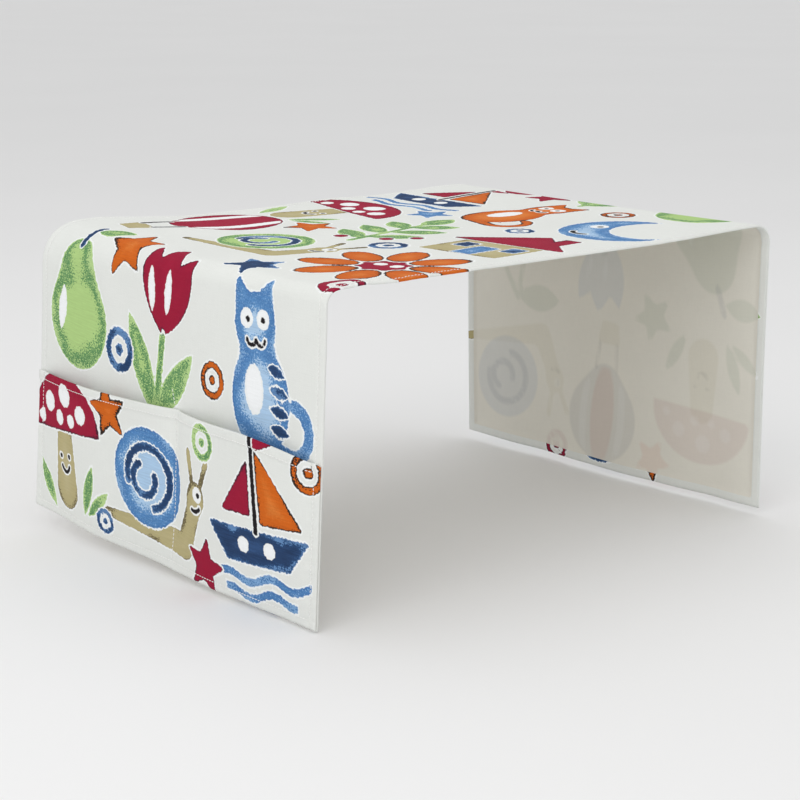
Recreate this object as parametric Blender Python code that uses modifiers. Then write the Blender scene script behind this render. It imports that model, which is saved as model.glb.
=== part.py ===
"""Microwave cover: one printed cloth panel that lies flat on top and hangs down at both ends, with a
divided pocket panel sewn to the outside of its left end.

The panel is drawn as it hangs over the box that it is made for, which isn't modelled. The origin is the
middle of the underside of the cloth's flat top, +X runs to the right end, +Y to the back and +Z up, in
metres.
"""

import math

import bmesh
import bpy

# Sizes of the box that the cover is made for, and of the cloth
COVERED_WIDTH = 0.500
COVER_WIDTH = 0.390
CLOTH = 0.0015
POCKET_CLOTH = 0.0012
SEAM_GAP = 0.0004

# How the cloth hangs at its front edge, its middle and its back edge, a row for each. bend is the radius
# of the outer face where the cloth turns down, lift is how far the top stands clear of the box beside
# that bend, out_top and out_hem are how far the hanging end stands out from the box's side at its bend
# and at its hem, hem is the hem's height below the top, and skew is how far the hem has swung to the back.
END_COLUMNS = ("bend", "lift", "out_top", "out_hem", "hem", "skew")
LEFT_END = (
    (0.012, 0.000, 0.009, 0.010, -0.2655, 0.012),
    (0.018, 0.002, 0.009, 0.012, -0.2590, 0.011),
    (0.036, 0.007, 0.008, 0.015, -0.2450, 0.011),
)
RIGHT_END = (
    (0.018, 0.003, 0.003, 0.009, -0.2595, 0.004),
    (0.018, 0.002, 0.003, 0.010, -0.2600, 0.004),
    (0.020, 0.003, 0.004, 0.012, -0.2570, 0.004),
)
FLARE_POWER = 1.6
LIFT_REACH = 0.140

# Soft folds of the hanging ends: where each is across the cloth, from 0 at the front edge to 1 at the
# back one, how wide it is as a share of the width, and how far it stands out at the hem
LEFT_FOLDS = (
    {"across": 0.10, "width": 0.10, "out": -0.0012},
    {"across": 0.34, "width": 0.13, "out": 0.0016},
    {"across": 0.55, "width": 0.12, "out": -0.0015},
    {"across": 0.76, "width": 0.14, "out": 0.0026},
    {"across": 0.93, "width": 0.10, "out": -0.0012},
)
RIGHT_FOLDS = (
    {"across": 0.16, "width": 0.11, "out": 0.0022},
    {"across": 0.44, "width": 0.14, "out": -0.0018},
    {"across": 0.72, "width": 0.12, "out": 0.0030},
)
FOLD_POWER = 1.3

# Low rises of the top, where the cloth doesn't quite touch: place, reach and height. They fade out over
# the margin beside each bend.
RISE_MARGIN = 0.030
TOP_RISES = (
    {"x": -0.226, "across": 0.00, "reach_x": 0.022, "reach_across": 0.12, "height": 0.0014},
    {"x": 0.060, "across": 1.00, "reach_x": 0.090, "reach_across": 0.25, "height": 0.0016},
    {"x": -0.070, "across": 0.72, "reach_x": 0.060, "reach_across": 0.22, "height": 0.0010},
    {"x": 0.150, "across": 0.45, "reach_x": 0.080, "reach_across": 0.20, "height": 0.0009},
)

# The pocket panel: height of its top edge below the cover's top, how far that edge has dropped at the
# front, the shares of the width that its seams take at the sides and on each side of the divider, how far
# each pocket's mouth stands open, and how fast it opens from its seams and its hem (a smaller power opens
# faster)
POCKET_TOP = -0.1215
POCKET_TOP_DROP = 0.0125
POCKET_DROP_REACH = 0.24
POCKET_DROP_POWER = 1.5
POCKET_HEM_INSET = 0.0008
POCKET_DIVIDER = 0.472
SIDE_SEAM = 0.025
DIVIDER_SEAM = 0.0125
MOUTH_OPEN = 0.0105
MOUTH_ROUNDNESS = 0.60
MOUTH_TAPER = 0.65

# Mesh steps: along each span of the section, and across the cloth
FLAP_STEPS = 10
BEND_STEPS = 6
TOP_STEPS = 26
ACROSS_STEPS = 36
POCKET_STEPS = 9
SPANS = (FLAP_STEPS, BEND_STEPS, TOP_STEPS, BEND_STEPS, FLAP_STEPS)

SHARP_ANGLE = math.radians(50)
CLOTH_COLOUR = (0.80, 0.79, 0.74, 1.0)
CLOTH_ROUGHNESS = 0.92


def between(rows, across):
    """The values of a table of three rows at a place across the cloth, on a smooth curve through them."""
    values = {}
    for name, front, middle, back in zip(END_COLUMNS, *rows):
        slope = 4 * middle - 3 * front - back
        curve = 2 * front + 2 * back - 4 * middle
        values[name] = front + slope * across + curve * across**2
    return values


def hump(distance, reach):
    """A rounded rise that is 1 at its middle and 0 from its reach outwards."""
    if abs(distance) >= reach:
        return 0.0
    return 0.5 * (1 + math.cos(math.pi * distance / reach))


def folds_at(folds, across):
    """How far the soft folds stand out at the hem, at a place across the cloth."""
    return sum(fold["out"] * hump(across - fold["across"], fold["width"]) for fold in folds)


def flap_point(end, folds, drop_share, across):
    """A point of a hanging end, as its distance out from the box's side, its y and its z.

    drop_share is 0 at the bend and 1 at the hem. The end leaves the bend straight down and flares
    out by a power of the drop, and the folds grow towards the hem.
    """
    bend_z = end["lift"] + CLOTH - end["bend"]
    out = end["out_top"] + (end["out_hem"] - end["out_top"]) * drop_share**FLARE_POWER
    out += folds_at(folds, across) * drop_share**FOLD_POWER
    y = COVER_WIDTH * (across - 0.5) + end["skew"] * drop_share
    z = bend_z + (end["hem"] - bend_z) * drop_share
    return out, y, z


def top_height(x, across, left, right):
    """Height of the cloth's outer face on its flat top: the lifts beside the bends and the low rises."""
    left_start = -COVERED_WIDTH / 2 - left["out_top"] + left["bend"]
    right_start = COVERED_WIDTH / 2 + right["out_top"] - right["bend"]
    height = CLOTH
    height += left["lift"] * hump(x - left_start, LIFT_REACH)
    height += right["lift"] * hump(right_start - x, LIFT_REACH)
    fade = max(0.0, min(1.0, (x - left_start) / RISE_MARGIN, (right_start - x) / RISE_MARGIN))
    for rise in TOP_RISES:
        share = hump(x - rise["x"], rise["reach_x"]) * hump(across - rise["across"], rise["reach_across"])
        height += rise["height"] * share * fade
    return height


def cover_point(span, share, across):
    """A point of the cover's outer face.

    span counts the parts of the section from the left hem to the right one: left end, left bend,
    top, right bend, right end. share runs from 0 to 1 along that span.
    """
    left = between(LEFT_END, across)
    right = between(RIGHT_END, across)
    half = COVERED_WIDTH / 2
    y = COVER_WIDTH * (across - 0.5)
    if span == 0:
        out, y, z = flap_point(left, LEFT_FOLDS, 1 - share, across)
        return -half - out, y, z
    if span == 1:
        turn = share * math.pi / 2
        x = -half - left["out_top"] + left["bend"] * (1 - math.cos(turn))
        return x, y, left["lift"] + CLOTH - left["bend"] * (1 - math.sin(turn))
    if span == 2:
        start = -half - left["out_top"] + left["bend"]
        end = half + right["out_top"] - right["bend"]
        x = start + (end - start) * share
        return x, y, top_height(x, across, left, right)
    if span == 3:
        turn = (1 - share) * math.pi / 2
        x = half + right["out_top"] - right["bend"] * (1 - math.cos(turn))
        return x, y, right["lift"] + CLOTH - right["bend"] * (1 - math.sin(turn))
    out, y, z = flap_point(right, RIGHT_FOLDS, share, across)
    return half + out, y, z


def pocket_top(across):
    """Height of the pocket panel's top edge, which droops towards the front."""
    near_front = max(0.0, 1 - across / POCKET_DROP_REACH)
    return POCKET_TOP - POCKET_TOP_DROP * near_front**POCKET_DROP_POWER


def pocket_gap(across, rise):
    """How far the pocket panel's inner face stands off the cover.

    It lies on the cover along its side seams, its hem and the divider, and opens towards the mouth.
    """
    if across <= POCKET_DIVIDER:
        low, high = SIDE_SEAM, POCKET_DIVIDER - DIVIDER_SEAM
    else:
        low, high = POCKET_DIVIDER + DIVIDER_SEAM, 1 - SIDE_SEAM
    share = (across - low) / (high - low)
    if share <= 0 or share >= 1:
        return SEAM_GAP
    return SEAM_GAP + MOUTH_OPEN * math.sin(math.pi * share) ** MOUTH_ROUNDNESS * rise**MOUTH_TAPER


def pocket_point(rise, across):
    """A point of the pocket panel's inner face. rise is 0 at its hem and 1 at its top edge."""
    left = between(LEFT_END, across)
    bend_z = left["lift"] + CLOTH - left["bend"]
    low = left["hem"] + POCKET_HEM_INSET
    z = low + (pocket_top(across) - low) * rise
    drop_share = (z - bend_z) / (left["hem"] - bend_z)
    out, y, z = flap_point(left, LEFT_FOLDS, drop_share, across)
    return -COVERED_WIDTH / 2 - out - pocket_gap(across, rise), y, z


def cloth_material(name):
    """Printed cotton and linen canvas, plain here: its off-white ground and its dull face."""
    material = bpy.data.materials.new(name)
    material.use_nodes = True
    shader = material.node_tree.nodes["Principled BSDF"]
    shader.inputs["Base Color"].default_value = CLOTH_COLOUR
    shader.inputs["Roughness"].default_value = CLOTH_ROUGHNESS
    shader.inputs["Metallic"].default_value = 0.0
    material.diffuse_color = CLOTH_COLOUR
    return material


def cloth_sheet(name, collection, steps_along, steps_across, place, thickness, offset):
    """A grid whose points are put in place by a function of its two counts, made solid by Solidify."""
    mesh = bpy.data.meshes.new(name)
    grid = bmesh.new()
    bmesh.ops.create_grid(grid, x_segments=steps_along, y_segments=steps_across, size=0.5)
    for vert in grid.verts:
        along = round((vert.co.x + 0.5) * steps_along)
        across = round((vert.co.y + 0.5) * steps_across)
        vert.co = place(along, across / steps_across)
    grid.to_mesh(mesh)
    grid.free()
    sheet = bpy.data.objects.new(name, mesh)
    collection.objects.link(sheet)
    sheet.data.materials.append(cloth_material(name + " cloth"))
    solid = sheet.modifiers.new("Thickness", "SOLIDIFY")
    solid.thickness = thickness
    solid.offset = offset
    mesh.shade_smooth()
    mesh.set_sharp_from_angle(angle=SHARP_ANGLE)
    return sheet


def cover_panel(collection):
    """The long panel with its hems: over the top and down both ends in one piece of cloth."""

    def place(along, across):
        span = 0
        while span < len(SPANS) - 1 and along >= SPANS[span]:
            along -= SPANS[span]
            span += 1
        return cover_point(span, along / SPANS[span], across)

    return cloth_sheet("cover_panel", collection, sum(SPANS), ACROSS_STEPS, place, CLOTH, -1.0)


def pocket_panel(collection):
    """The pocket panel, one piece of cloth that a seam down its middle divides into two pockets."""

    def place(along, across):
        return pocket_point(along / POCKET_STEPS, across)

    return cloth_sheet("pocket_panel", collection, POCKET_STEPS, ACROSS_STEPS, place, POCKET_CLOTH, 1.0)


def main():
    for old in list(bpy.data.objects):
        bpy.data.objects.remove(old, do_unlink=True)
    collection = bpy.data.collections.new("Microwave cover")
    bpy.context.scene.collection.children.link(collection)
    cover_panel(collection)
    pocket_panel(collection)


main()
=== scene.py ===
"""The looks of a printed canvas dust cover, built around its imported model.

One long panel of canvas lies flat on top and hangs down at both ends, and a short one on the outside of
its left end makes two pockets. Both are hemmed, sewn with white thread and printed with painted motifs.

A place on the cloth is a pair of millimetres: up, along the cloth from the left end's hem, and across,
from the front edge to the back one. Shapes in space are in metres.
"""

import math

import bpy
import numpy as np
from mathutils import Matrix, Vector


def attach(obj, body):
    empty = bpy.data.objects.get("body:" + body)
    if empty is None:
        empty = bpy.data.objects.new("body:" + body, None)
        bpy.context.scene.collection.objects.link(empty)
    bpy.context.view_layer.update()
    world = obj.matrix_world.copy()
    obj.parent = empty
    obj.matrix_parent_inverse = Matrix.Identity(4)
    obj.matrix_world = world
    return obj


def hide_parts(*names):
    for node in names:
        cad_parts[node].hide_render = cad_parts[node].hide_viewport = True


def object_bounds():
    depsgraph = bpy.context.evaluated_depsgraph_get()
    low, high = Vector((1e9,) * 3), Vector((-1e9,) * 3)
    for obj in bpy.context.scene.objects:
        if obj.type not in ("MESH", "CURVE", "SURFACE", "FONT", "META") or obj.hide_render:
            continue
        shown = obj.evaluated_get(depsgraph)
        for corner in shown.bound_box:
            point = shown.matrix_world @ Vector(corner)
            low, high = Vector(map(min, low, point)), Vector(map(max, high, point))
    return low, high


bl_info = {
    "name": "Printed Appliance Cover",
    "version": (1, 0, 0),
    "blender": (4, 5, 0),
    "location": "3D View > Sidebar > Cover",
    "description": "Builds a printed canvas cover with two pockets on its left end",
    "category": "Object",
}

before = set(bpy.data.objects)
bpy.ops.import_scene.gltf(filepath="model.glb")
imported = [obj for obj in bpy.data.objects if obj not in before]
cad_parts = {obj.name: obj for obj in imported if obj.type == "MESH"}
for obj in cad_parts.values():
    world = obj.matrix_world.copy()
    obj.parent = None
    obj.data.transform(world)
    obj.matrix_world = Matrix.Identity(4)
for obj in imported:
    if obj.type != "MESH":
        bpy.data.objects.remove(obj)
CAD_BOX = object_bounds()

# How the cloth hangs, in metres, as its solids do: a row each for the front edge, the middle and the back
# edge. bend is the radius of the turn, lift how far the top stands clear beside it, out_top and out_hem
# how far the end stands out at its bend and its hem, hem the hem's height and skew its swing to the back.
COVERED_WIDTH = 0.500
FACE_HEIGHT = 0.0015
END_COLUMNS = ("bend", "lift", "out_top", "out_hem", "hem", "skew")
LEFT_END = (
    (0.012, 0.000, 0.009, 0.010, -0.2655, 0.012),
    (0.018, 0.002, 0.009, 0.012, -0.2590, 0.011),
    (0.036, 0.007, 0.008, 0.015, -0.2450, 0.011),
)
RIGHT_END = (
    (0.018, 0.003, 0.003, 0.009, -0.2595, 0.004),
    (0.018, 0.002, 0.003, 0.010, -0.2600, 0.004),
    (0.020, 0.003, 0.004, 0.012, -0.2570, 0.004),
)
FLARE_POWER = 1.6
LIFT_REACH = 0.140

# Soft folds of the ends: place across (0 to 1), width as a share, and how far out they stand at the hem
LEFT_FOLDS = (
    (0.10, 0.10, -0.0012),
    (0.34, 0.13, 0.0016),
    (0.55, 0.12, -0.0015),
    (0.76, 0.14, 0.0026),
    (0.93, 0.10, -0.0012),
)
RIGHT_FOLDS = (
    (0.16, 0.11, 0.0022),
    (0.44, 0.14, -0.0018),
    (0.72, 0.12, 0.0030),
)
FOLD_POWER = 1.3

# Low rises of the top: x, place across, reach along x, reach across, height
RISE_MARGIN = 0.030
TOP_RISES = (
    (-0.226, 0.00, 0.022, 0.12, 0.0014),
    (0.060, 1.00, 0.090, 0.25, 0.0016),
    (-0.070, 0.72, 0.060, 0.22, 0.0010),
    (0.150, 0.45, 0.080, 0.20, 0.0009),
)

# The pocket panel, as its solid: top edge, its droop at the front, its seams and its two mouths
POCKET_TOP = -0.1215
POCKET_TOP_DROP = 0.0125
POCKET_DROP_REACH = 0.24
POCKET_DROP_POWER = 1.5
POCKET_HEM_INSET = 0.0008
POCKET_DIVIDER = 0.472
SIDE_SEAM = 0.025
DIVIDER_SEAM = 0.0125
SEAM_GAP = 0.0004
MOUTH_OPEN = 0.0105
MOUTH_ROUNDNESS = 0.60
MOUTH_TAPER = 0.65

# Height of the pockets' top edge above the hem, at the middle of the cloth, in millimetres
POCKET_HEIGHT = (POCKET_TOP - LEFT_END[1][4]) * 1000

# How the dividing seam wanders, in millimetres: height above the hem, and how far it lies to the back
DIVIDER_RUN = ((0, 3.0), (30, 0.6), (60, -1.2), (100, -0.8), (122, 0.0), (139, 3.2), (157, 9.0))

# Grid rows beside a hem, in millimetres from the cloth's edge, close enough to draw its fold and stitches
HEM_ROWS = (0.0, 1.2, 3.0, 5.0, 6.4, 7.2, 8.2, 8.8, 9.6)
GRID_STEP = 2.4
POCKET_STEP = 1.7
FLAP_LENGTH = 245.0
BEND_ROWS = 12
TOP_LENGTH = 482.0

# Small wrinkles, in millimetres on the cloth: start up and across, end up and across, half width, height
COVER_WRINKLES = (
    (250, 8, 205, 60, 9, 0.7), (262, 385, 190, 330, 12, -0.8),
    (244, 300, 168, 262, 10, 0.6), (240, 120, 160, 150, 9, -0.6),
    (236, 214, 176, 205, 7, 0.5), (300, 14, 352, 40, 8, 0.8),
    (332, 6, 372, 60, 10, -0.7), (300, 384, 372, 330, 14, 0.9),
    (420, 8, 470, 34, 9, 0.6), (388, 200, 470, 236, 12, 0.4),
    (560, 386, 640, 350, 12, 0.7), (640, 10, 700, 40, 10, 0.7),
    (706, 20, 744, 70, 9, -0.6), (700, 380, 748, 330, 12, 0.8),
    (780, 30, 850, 90, 12, 0.9), (782, 370, 860, 300, 12, -0.9),
    (800, 190, 930, 210, 14, 0.9), (850, 120, 1000, 104, 12, 0.7),
    (840, 330, 1000, 344, 14, -0.8),
)
POCKET_WRINKLES = (
    (136, 12, 92, 40, 7, 0.6), (128, 186, 84, 170, 7, -0.5),
    (128, 206, 88, 226, 7, 0.6), (134, 380, 88, 352, 8, -0.6),
    (20, 96, 60, 110, 8, 0.4), (16, 290, 62, 300, 9, 0.5),
)

# Hems, seams and folds of the cloth, in millimetres
HEM_WIDTH = 8.4
HEM_FADE_OUT = 1.0
HEM_FADE_IN = 0.4
HEM_EDGE_REACH = 0.8
STITCH_INSET = 7.2
SEAM_DEPTH = 0.32
SEAM_SPREAD = 1.3
EDGE_ROUNDING = 0.42
WRINKLE_FADE = 0.75

# Puckers beside a seam: the length of each wave, how far it drifts, the drift's length and its share
PUCKER_WAVES = ((1.45, 0.8, 17, 1.0), (2.6, 1.9, 31, 0.6))
PUCKER_HEIGHT = 0.26
PUCKER_SPREAD = 6.5
PUCKER_SWELL = 41

# Under the pockets the cover's relief fades: between these heights, from its side hems inwards over this,
# both in millimetres, and by this share
COVERED_UP = (150, 128)
COVERED_SIDE = 4
COVERED_SHARE = 0.9

# How far each panel's edge is thinned and how far the pocket panel stands off the cover, in metres, how
# thick the pockets' hem is beside the cover's, and the deepest place of their relief in millimetres
COVER_THINNING = 0.0006
POCKET_THINNING = 0.0005
POCKET_STAND_OFF = 0.0001
POCKET_LAYERS = 0.8
DEEPEST_POCKET_RELIEF = -0.25

# Sewing thread, in metres, drawn a little thicker than the real 0.4 mm so that it shows
STITCH_PITCH = 0.0034
STITCH_LENGTH = 0.0029
THREAD_RADIUS = 0.00035
STITCH_RINGS = 5
STITCH_SIDES = 6
DIVIDER_SAMPLES = 200

# Spacing of the canvas's threads in millimetres, drawn a little coarser than the real 0.55 so that it shows,
# and their height in metres
THREAD_SPACING = 0.8
THREAD_HEIGHT = 0.00010

# Grains of noise: how often each repeats across, up and through the cloth, per millimetre, and its detail.
# The thread's and the floor's are per metre.
GRAINS = {
    "slubs up": (0.07, 0.9, 1.0, 2.0),
    "slubs across": (0.9, 0.07, 1.0, 2.0),
    "patches": (0.012, 0.012, 1.0, 3.0),
    "wander": (0.30, 0.30, 1.0, 3.0),
    "dots": (0.62, 0.62, 1.0, 1.5),
    "drift": (0.028, 0.028, 1.0, 2.0),
    "bristles": (0.05, 0.75, 1.0, 2.0),
    "fuzz": (2500.0, 2500.0, 2500.0, 2.0),
    "clouds": (1.5, 1.5, 1.5, 2.0),
}

# Inks of the print, from the first one laid down to the last: how far an edge wanders, how far in the dots
# of the rim's colour reach and how far the tone drifts, in millimetres, how much the brush's lines show,
# and the ink's colours by depth from its edge in millimetres
INKS = {
    "beige": (
        0.7, 3.0, 6.0, 0.05,
        ((0.0, "#6E6448"), (0.9, "#B3A87C"), (9.0, "#B6AB80"), (18.0, "#BBB189")),
    ),
    "green": (
        0.9, 9.0, 10.0, 0.06,
        ((0.0, "#B2CF8C"), (2.0, "#A9CB82"), (2.8, "#56865A"), (10.0, "#6B9861"), (11.2, "#AECD84")),
    ),
    "blue": (
        1.1, 8.0, 8.0, 0.10,
        ((0.0, "#7FA6CF"), (1.0, "#4474AC"), (9.0, "#5A8ABD"), (14.0, "#6C98C7"), (15.4, "#A9C6E2")),
    ),
    "crimson": (
        0.8, 1.6, 2.2, 0.04,
        ((0.0, "#45162A"), (0.5, "#5E1730"), (1.3, "#981737"), (10.0, "#9A1736"), (22.0, "#A01B3B")),
    ),
    "orange": (
        0.8, 2.5, 2.6, 0.08,
        ((0.0, "#2D231E"), (0.9, "#3A2A20"), (1.6, "#C96019"), (8.0, "#CE651C"), (16.0, "#D87A33")),
    ),
    "navy": (
        1.3, 2.5, 7.0, 0.22,
        ((0.0, "#6086B4"), (1.0, "#31537F"), (2.4, "#29436A"), (9.0, "#273E62"), (15.0, "#324E78")),
    ),
    "pale": (0.8, 1.0, 1.0, 0.02, ((0.0, "#EFF1F2"), (2.0, "#F2F4F5"), (6.0, "#F2F4F5"))),
    "line": (0.6, 1.0, 1.0, 0.05, ((0.0, "#2A2326"), (1.0, "#1D191C"), (4.0, "#1D191C"))),
}
INK_DEPTH = 24.0
FAR_FROM_INK = 30.0
HALO_WIDTH = 1.5
MOST_RIM_DRIFT = 2.6
SHOW_THROUGH = 0.13

# Where each motif is printed, in millimetres on the cloth: motif, centre up, centre across, size, turn in
# degrees, and the inks that it takes in order
COVER_PRINT = (
    ("pear", 204, 334, 1.20, 8, "green"), ("tulip", 196, 206, 1.34, -5, "crimson green"),
    ("cat", 194, 78, 1.26, 5, "blue navy"), ("star", 262, 268, 0.66, 14, "orange"),
    ("rings", 170, 268, 0.62, 0, "navy"), ("rings", 172, 138, 0.50, 0, "orange"),
    ("balloon", 376, 330, 1.36, -7, "blue crimson"), ("snail", 362, 204, 1.26, 6, "green beige"),
    ("daisy", 366, 56, 1.58, 8, "orange crimson"), ("star", 288, 122, 0.54, -10, "navy"),
    ("rings", 284, 8, 0.60, 0, "crimson"), ("mushroom", 524, 324, 1.30, -6, "crimson"),
    ("sprig", 500, 196, 1.36, 14, "green"), ("house", 510, 74, 1.30, 5, "beige blue"),
    ("star", 446, 258, 0.54, 12, "orange"), ("rings", 436, 134, 0.56, 0, "navy"),
    ("boat", 664, 322, 1.24, 6, "navy orange"), ("cat", 652, 196, 1.20, -8, "orange crimson"),
    ("moon", 648, 64, 1.48, 14, "blue"), ("star", 584, 254, 0.48, 8, "blue"),
    ("rings", 580, 124, 0.44, 0, "navy"), ("cherries", 806, 326, 1.34, -6, "crimson green"),
    ("tulip", 794, 198, 1.18, 6, "blue green"), ("pear", 788, 70, 1.22, -9, "green"),
    ("star", 742, 254, 0.54, -12, "crimson"), ("rings", 712, 130, 0.54, 0, "orange"),
    ("snail", 936, 322, 1.26, -6, "blue beige"), ("balloon", 948, 196, 1.24, 6, "orange navy"),
    ("mushroom", 944, 72, 1.20, 5, "crimson"), ("star", 866, 134, 0.50, 10, "green"),
    ("rings", 1008, 262, 0.52, 0, "crimson"), ("star", 1006, 132, 0.46, -8, "orange"),
    ("moon", 66, 330, 1.26, -10, "orange"), ("sprig", 56, 204, 1.08, 8, "green"),
    ("boat", 64, 72, 1.16, -6, "navy crimson"),
)
POCKET_PRINT = (
    ("mushroom", 76, 338, 1.20, 8, "crimson"), ("snail", 66, 206, 1.26, -4, "blue beige"),
    ("boat", 76, 70, 1.20, 5, "navy orange"), ("star", 118, 268, 0.52, 12, "orange"),
    ("rings", 122, 138, 0.50, 0, "green"), ("star", 18, 136, 0.50, -8, "crimson"),
    ("rings", 18, 276, 0.36, 0, "navy"), ("rings", 124, 12, 0.56, 0, "orange"),
)
MOTIF_REACH = 80.0

# The camera of the photograph: where it stands, and how it is turned, in degrees
CAMERA_PLACE = (-1.2337, -1.3784, 0.2665)
CAMERA_PITCH = 12.78
CAMERA_ROLL = 0.27
CAMERA_YAW = 41.51
CAMERA_LENS = 95.36

# The two square area lights: place, the point that each looks at, and the length of their sides. The
# floor reaches far past the picture.
KEY_LIGHT = ((-1.9, -1.0, 1.25), (0.0, 0.0, -0.1))
OVERHEAD_LIGHT = ((0.2, 0.4, 1.8), (0.0, 0.0, 0.0))
LIGHT_SIDE = 1.8
FLOOR_CORNERS = ((-16.0, -16.0), (16.0, -16.0), (16.0, 16.0), (-16.0, 16.0))


def linear(code):
    """An sRGB hex colour as linear red, green and blue: c / 12.92 below 0.04045, else the 2.4 power."""
    shares = [int(code[i : i + 2], 16) / 255 for i in (1, 3, 5)]
    return tuple(c / 12.92 if c <= 0.04045 else ((c + 0.055) / 1.055) ** 2.4 for c in shares)


# Flat shapes of the print. Each gives the signed distance to its edge in millimetres, below 0 inside, at
# places x to the right and y up.


def circle(x, y, centre_x, centre_y, radius):
    """Distance to the centre, less the radius."""
    return np.hypot(x - centre_x, y - centre_y) - radius


def oval(x, y, centre_x, centre_y, radius_x, radius_y):
    """(q - 1) times the smaller radius, where q is the point's distance in units of the oval's radii."""
    return (np.hypot((x - centre_x) / radius_x, (y - centre_y) / radius_y) - 1) * min(radius_x, radius_y)


def nearest_on_line(x, y, start_x, start_y, end_x, end_y):
    """The share of a line at which its point nearest to a place lies, and the distance to that point."""
    run_x, run_y = end_x - start_x, end_y - start_y
    share = np.clip(((x - start_x) * run_x + (y - start_y) * run_y) / (run_x**2 + run_y**2), 0, 1)
    return share, np.hypot(x - start_x - share * run_x, y - start_y - share * run_y)


def stroke(x, y, start_x, start_y, end_x, end_y, width_start, width_end):
    """A brush stroke: distance to a line, less a half width that changes along it."""
    share, away = nearest_on_line(x, y, start_x, start_y, end_x, end_y)
    return away - (width_start + (width_end - width_start) * share)


def leaf(x, y, start_x, start_y, end_x, end_y, width):
    """A leaf from tip to tip: |aside| - 4 w u (1 - u), where u runs from 0 to 1 along it."""
    length = math.hypot(end_x - start_x, end_y - start_y)
    along_x, along_y = (end_x - start_x) / length, (end_y - start_y) / length
    share = ((x - start_x) * along_x + (y - start_y) * along_y) / length
    aside = np.abs((y - start_y) * along_x - (x - start_x) * along_y)
    held = np.clip(share, 0, 1)
    body = aside - 4 * width * held * (1 - held)
    return np.where(share == held, body, np.hypot(aside, (share - held) * length))


def polygon(x, y, rounding, *corners):
    """Distance to the nearest side, below 0 where a ray crosses the sides an odd number of times."""
    nearest = np.full(x.shape, np.inf)
    inside = np.zeros(x.shape, bool)
    for (ax, ay), (bx, by) in zip(corners, corners[1:] + corners[:1]):
        nearest = np.minimum(nearest, nearest_on_line(x, y, ax, ay, bx, by)[1])
        if ay != by:
            inside ^= ((ay > y) != (by > y)) & (x < (bx - ax) * (y - ay) / (by - ay) + ax)
    return np.where(inside, -nearest, nearest) - rounding


def box(x, y, left, low, right, high):
    """An upright rectangle, rounded by 1 mm."""
    return polygon(x, y, 1.0, (left, low), (right, low), (right, high), (left, high))


def star(x, y, outer, inner, rounding):
    """A star of five points: corners on two circles in turn, every 36 degrees."""
    turns = [math.pi * i / 5 for i in range(10)]
    reaches = (outer, inner) * 5
    corners = [(reach * math.sin(turn), reach * math.cos(turn)) for reach, turn in zip(reaches, turns)]
    return polygon(x, y, rounding, *corners)


def arc(x, y, centre_x, centre_y, radius, first, last, width):
    """A curved stroke: the gap to a circle's line between two angles in degrees, and to its ends beyond."""
    dx, dy = x - centre_x, y - centre_y
    middle, half = math.radians((first + last) / 2), math.radians((last - first) / 2)
    cos, sin = math.cos(middle), math.sin(middle)
    held = np.clip(np.arctan2(dy * cos - dx * sin, dx * cos + dy * sin), -half, half) + middle
    return np.hypot(dx - radius * np.cos(held), dy - radius * np.sin(held)) - width


def wave(x, y, level, reach):
    """A wavy stroke: |y - level - 2.8 sin(x / 7)| - 2.9, cut off at a reach from the middle."""
    return np.maximum(np.abs(y - level - 2.8 * np.sin(x / 7)) - 2.9, np.abs(x) - reach)


def petals(x, y, count, turned, middle, length, width):
    """Ovals round the centre, the same one turned by equal steps."""
    rounds = []
    for i in range(count):
        turn = 2 * math.pi * (i + turned) / count
        cos, sin = math.cos(turn), math.sin(turn)
        rounds.append(oval(x * cos + y * sin, y * cos - x * sin, middle, 0, length, width))
    return np.minimum.reduce(rounds)


def gores(x, y):
    """Two stripes that close in above and below: ||x| (1 + ((y - 20) / 75)^2) - 21| - 3.8."""
    return np.abs(np.abs(x) * (1 + ((y - 20) / 75) ** 2) - 21) - 3.8


def dome(x, y):
    """A mushroom's cap: an oval's upper part, rounded by 1.5 mm."""
    return np.maximum(oval(x, y, 0, 6, 47, 40), 6 - y) - 1.5


def drawn(x, y, *shapes):
    """Shapes laid over one another: the least of their distances."""
    return np.minimum.reduce([shape[0](x, y, *shape[1:]) for shape in shapes])


def melted(x, y, softness, first, second):
    """Two shapes flowed together: min(a, b) - k h^2 / 4, where h = max(1 - |a - b| / k, 0)."""
    a, b = drawn(x, y, first), drawn(x, y, second)
    return np.minimum(a, b) - softness * np.maximum(1 - np.abs(a - b) / softness, 0) ** 2 / 4


def within(x, y, inset, first, second):
    """The part of a second shape that lies within a first one by an inset: max(a + inset, b)."""
    return np.maximum(drawn(x, y, first) + inset, drawn(x, y, second))


def cut(x, y, first, second):
    """A first shape without a second one: max(a, -b)."""
    return np.maximum(drawn(x, y, first), -drawn(x, y, second))


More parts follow.
